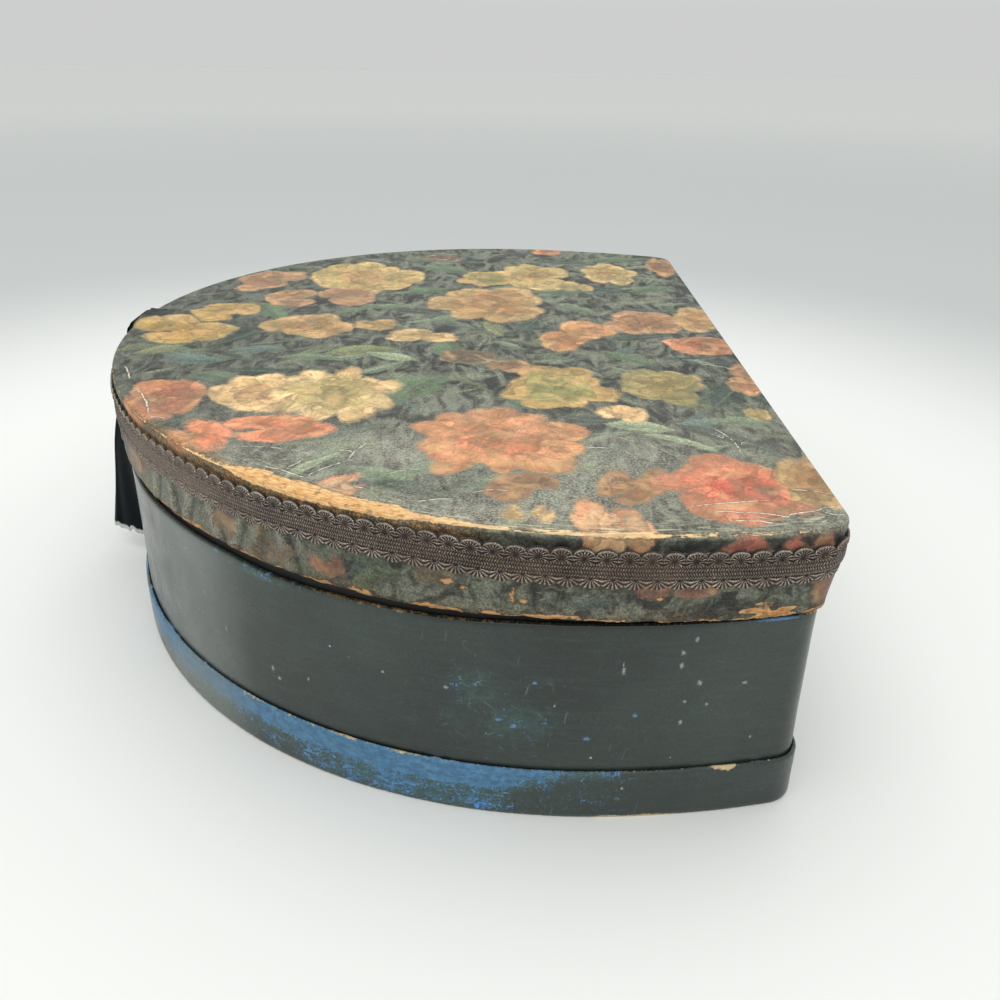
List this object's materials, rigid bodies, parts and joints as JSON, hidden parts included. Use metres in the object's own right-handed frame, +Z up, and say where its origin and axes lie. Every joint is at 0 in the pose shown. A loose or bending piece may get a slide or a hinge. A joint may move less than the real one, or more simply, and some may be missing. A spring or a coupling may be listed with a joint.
{
  "type": "decoupage storage box",
  "caption": "D-shaped pasteboard storage box with a lift-off floral lid, scalloped gimp trim round the rim and a velvet pull ribbon.",
  "frame": {"origin": "on the table, under the middle of the bounding box", "axes": "+Z up; the straight side faces +X and the rounded end, with the ribbon, faces -X; Y runs along the straight side"},
  "size_m": [0.2798, 0.3674, 0.1062],
  "materials": {
    "bare_board": "matte grey-brown pasteboard",
    "green_paint": "semi-gloss green-black paint over pasteboard, specked and scuffed",
    "worn_band_paint": "green-black paint worn through to a blue undercoat",
    "dark_neck_paint": "matte near-black paint",
    "floral_paper": "varnished floral paper on a dark green ground, worn at the edges",
    "floral_paper_side": "creased floral paper on a dark green ground",
    "gimp_braid": "brown-grey corded braid",
    "velvet_ribbon": "dark green velvet"
  },
  "bodies": {
    "root": {"floor_panel": "bare_board", "body_wall": "green_paint", "foot_band": "worn_band_paint", "neck_band": "dark_neck_paint", "lid_panel": "floral_paper", "lid_rim": "floral_paper_side", "gimp_trim": "gimp_braid", "pull_ribbon": "velvet_ribbon"}
  },
  "joints": []
}
